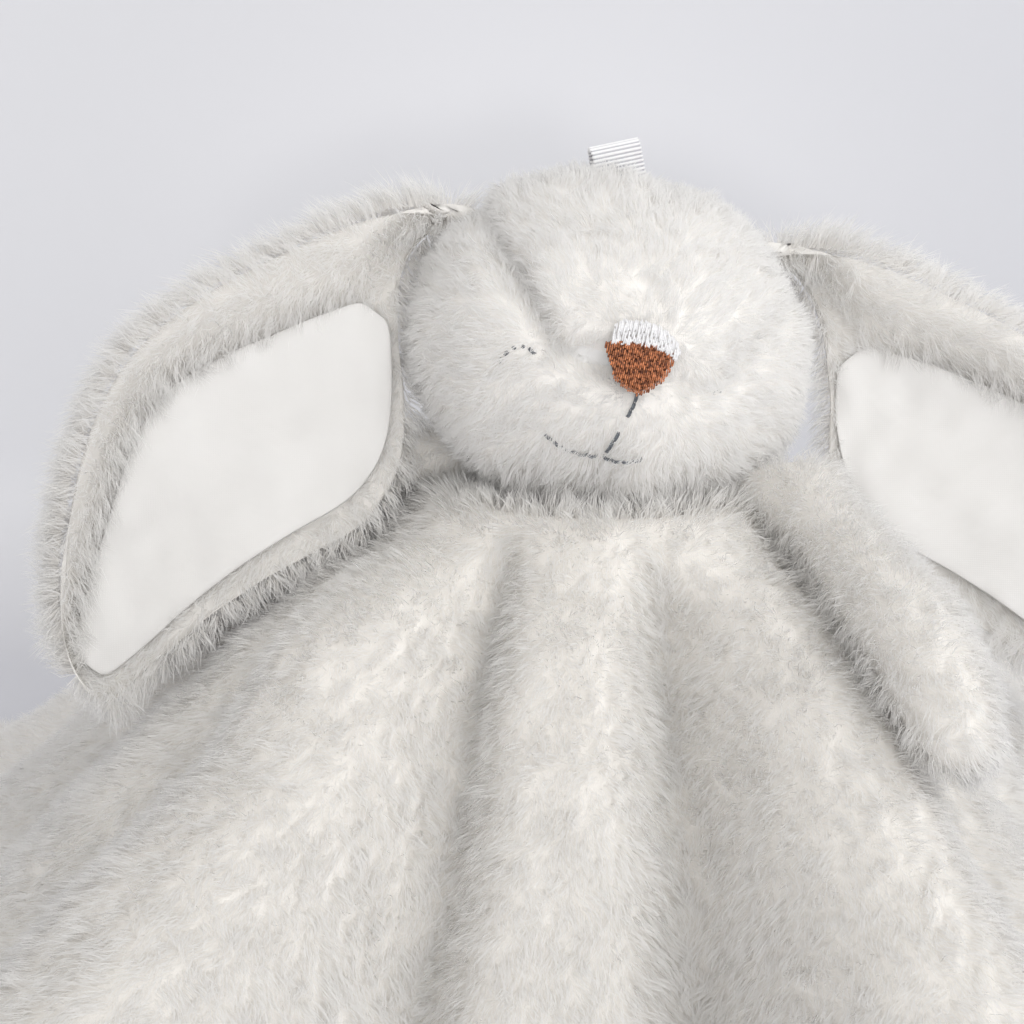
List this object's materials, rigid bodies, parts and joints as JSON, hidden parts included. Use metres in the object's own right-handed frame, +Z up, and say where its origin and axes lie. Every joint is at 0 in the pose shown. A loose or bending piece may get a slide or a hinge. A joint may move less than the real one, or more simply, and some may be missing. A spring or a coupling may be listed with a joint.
{
  "type": "comfort blanket lovey",
  "caption": "Plush bunny head with long satin-lined ears and two soft arms, sewn to the middle of a square plush comfort blanket that falls in folds to the table.",
  "frame": {"origin": "middle of the footprint's bounding box, on the table the blanket stands on", "axes": "+Z up, the face looks along -Y, +X to the viewer's right of the face"},
  "size_m": [0.369, 0.3352, 0.1855],
  "materials": {
    "body_plush": "long soft pile",
    "head_plush": "long soft pile",
    "ear_satin": "satin weave",
    "blanket_lining_cloth": "plain weave",
    "stuffing": "loose fibre",
    "nose_thread": "embroidered",
    "dark_thread": "embroidered",
    "white_thread": "embroidered",
    "ribbon": "ribbed ribbon"
  },
  "bodies": {
    "blanket": {"blanket_plush": "body_plush", "blanket_lining": "blanket_lining_cloth"},
    "neck": {"neck_seam": "white_thread"},
    "head": {"head_left_panel": "head_plush", "head_right_panel": "head_plush", "head_crown_gusset": "head_plush", "head_stuffing": "stuffing", "nose_embroidery": "nose_thread", "nose_underlay": "white_thread", "philtrum_stitch": "dark_thread", "mouth_left_stitch": "dark_thread", "mouth_right_stitch": "dark_thread", "eye_left_stitch": "dark_thread", "eye_right_stitch": "dark_thread"},
    "loop": {"hang_loop": "ribbon"},
    "left_ear": {"ear_left_back": "body_plush", "ear_left_lining": "ear_satin"},
    "right_ear": {"ear_right_back": "body_plush", "ear_right_lining": "ear_satin"},
    "left_arm": {"arm_left_cover": "body_plush", "arm_left_stuffing": "stuffing"},
    "right_arm": {"arm_right_cover": "body_plush", "arm_right_stuffing": "stuffing"}
  },
  "joints": [
    {"name": "head_turn", "type": "hinge", "parent": "blanket", "child": "neck", "pos_m": [0.00799, 0.02539, 0.107], "axis": [0, 0, 1], "range_deg": [-8, 16], "stiffness_Nm_per_rad": 0.15},
    {"name": "head_nod", "type": "hinge", "parent": "neck", "child": "head", "pos_m": [0.00799, 0.02539, 0.13925], "axis": [1, 0, 0], "range_deg": [-8, 10], "stiffness_Nm_per_rad": 0.15},
    {"name": "loop_flop", "type": "hinge", "parent": "head", "child": "loop", "pos_m": [0.00958, 0.02581, 0.177], "axis": [0.9765, 0.0712, 0.2034], "range_deg": [-8, 8], "stiffness_Nm_per_rad": 0.00005},
    {"name": "ear_left_swing", "type": "hinge", "parent": "head", "child": "left_ear", "pos_m": [-0.02401, 0.02939, 0.17065], "axis": [0.2849, 0.2799, 0.9168], "range_deg": [-12, 15], "stiffness_Nm_per_rad": 0.06},
    {"name": "ear_right_swing", "type": "hinge", "parent": "head", "child": "right_ear", "pos_m": [0.04359, 0.03339, 0.16215], "axis": [0.5009, -0.052, -0.8639], "range_deg": [-15, 10], "stiffness_Nm_per_rad": 0.06},
    {"name": "arm_left_lift", "type": "hinge", "parent": "blanket", "child": "left_arm", "pos_m": [-0.03351, 0.02539, 0.11308], "axis": [0, 1, 0], "range_deg": [0, 45]},
    {"name": "arm_right_lift", "type": "hinge", "parent": "blanket", "child": "right_arm", "pos_m": [0.04393, 0.00464, 0.11331], "axis": [-0.9802, -0.198, 0], "range_deg": [0, 45]}
  ]
}
